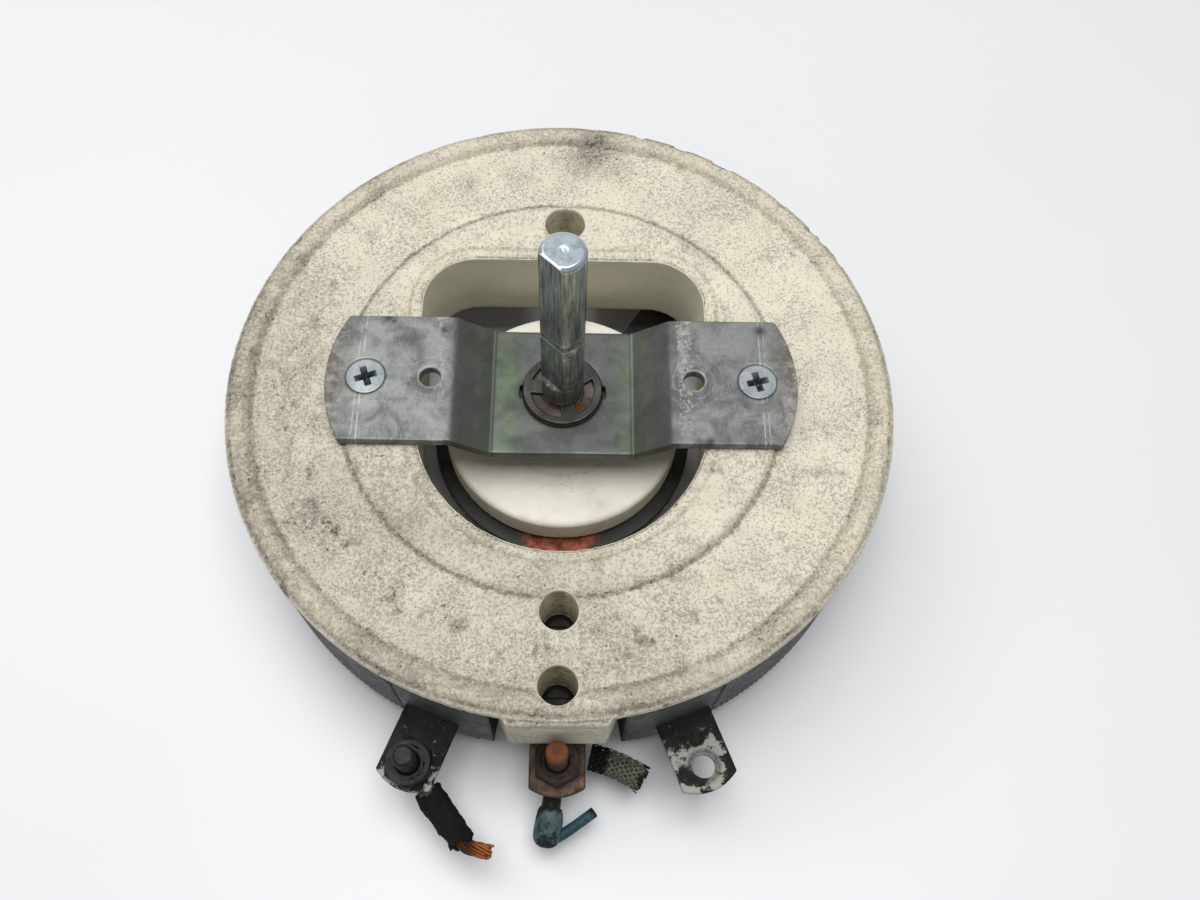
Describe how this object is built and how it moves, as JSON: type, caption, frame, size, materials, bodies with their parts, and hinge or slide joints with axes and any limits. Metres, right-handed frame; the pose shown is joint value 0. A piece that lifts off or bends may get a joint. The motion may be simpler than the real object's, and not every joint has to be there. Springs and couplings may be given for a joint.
{
  "type": "wirewound power rheostat",
  "caption": "Ring-shaped wirewound power rheostat: ceramic base, bent panel bracket, long flatted shaft, rotating contact arm, and front terminals with cut leads.",
  "frame": {"origin": "on the shaft axis, in the plane of the bracket wings that seat against the panel", "axes": "+Z along the shaft, out through the panel towards the knob; the terminals are on the -Y side; the bracket runs along X"},
  "size_m": [0.1524, 0.1755, 0.094],
  "materials": {
    "base_ceramic": "matte, pitted, grimy cream porcelain",
    "hub_ceramic": "matte off-white porcelain",
    "core_ceramic": "unglazed",
    "cement": "rough grey bonding cement",
    "enamel": "satin black vitreous enamel over wire ribs",
    "resistance_wire": "oxidised nickel-chromium wire, bright along the brush track",
    "terminal_steel": "flux-stained tinned steel",
    "collector_copper": "rusty, heat-stained copper alloy",
    "spacer_fibre": "brown insulating fibre",
    "dark_fastener": "blackened steel",
    "rusty_fastener": "rusted steel",
    "bracket_steel": "dull zinc-plated steel with white oxide",
    "zinc_screw": "bright zinc plate",
    "shaft_steel": "drawn steel with grime near its foot",
    "bushing_steel": "rusty plated steel",
    "clip_steel": "dark spring steel",
    "arm_steel": "grey spring steel",
    "holder_brass": "tarnished brass",
    "graphite": "matte metal graphite",
    "contact_copper": "worn copper contact",
    "copper_braid": "tarnished flexible copper lead",
    "crimp_tin": "stained tinned copper",
    "burnt_sleeve": "charred black insulation",
    "teal_sleeve": "dusty blue-green insulation",
    "copper_wire": "bare copper conductor",
    "blue_wire": "blue insulated wire",
    "braid_fabric": "grey-olive woven sleeving"
  },
  "bodies": {
    "stator": {"ceramic_base": "base_ceramic", "cement_bed": "cement", "winding_core": "core_ceramic", "resistance_winding": "resistance_wire", "enamel_coat": "enamel", "left_end_terminal": "terminal_steel", "right_end_terminal": "terminal_steel", "collector_ring": "collector_copper", "collector_spacer": "spacer_fibre", "inner_collector_screw": "dark_fastener", "inner_collector_nut": "dark_fastener", "outer_collector_screw": "dark_fastener", "outer_collector_nut": "dark_fastener", "mounting_bracket": "bracket_steel", "left_bracket_screw": "zinc_screw", "left_bracket_washer": "zinc_screw", "left_bracket_nut": "zinc_screw", "right_bracket_screw": "zinc_screw", "right_bracket_washer": "zinc_screw", "right_bracket_nut": "zinc_screw", "shaft_bushing": "bushing_steel", "thrust_washer": "zinc_screw", "left_terminal_bolt": "dark_fastener", "left_terminal_washer": "dark_fastener", "left_terminal_nut": "dark_fastener", "centre_terminal_bolt": "rusty_fastener", "centre_terminal_washer": "rusty_fastener", "centre_terminal_nut": "rusty_fastener", "left_ring_terminal": "crimp_tin", "left_terminal_sleeve": "burnt_sleeve", "left_wire_stub": "copper_wire", "centre_ring_terminal": "crimp_tin", "centre_terminal_sleeve": "teal_sleeve", "centre_wire_stub": "blue_wire", "braided_sleeve": "braid_fabric", "braided_lead_core": "copper_wire"},
    "rotor": {"control_shaft": "shaft_steel", "retaining_ring": "clip_steel", "insulating_hub": "hub_ceramic", "hub_drive_pin": "shaft_steel", "contact_arm": "arm_steel", "arm_clamp_plate": "arm_steel", "shaft_lock_washer": "zinc_screw", "shaft_nut": "zinc_screw", "brush_holder": "holder_brass", "brush_spring": "clip_steel", "collector_contact": "contact_copper", "brush_shunt": "copper_braid"},
    "brush": {"contact_brush": "graphite"}
  },
  "joints": [
    {"name": "shaft_turn", "type": "hinge", "parent": "stator", "child": "rotor", "pos_m": [0, 0, 0], "axis": [0, 0, 1], "range_deg": [-127, 193]},
    {"name": "brush_slide", "type": "slide", "parent": "rotor", "child": "brush", "axis": [0, 0, 1], "range_m": [-0.0008, 0], "stiffness_N_per_m": 400, "springref_m": 0.004, "deforming": ["brush_spring"]}
  ]
}
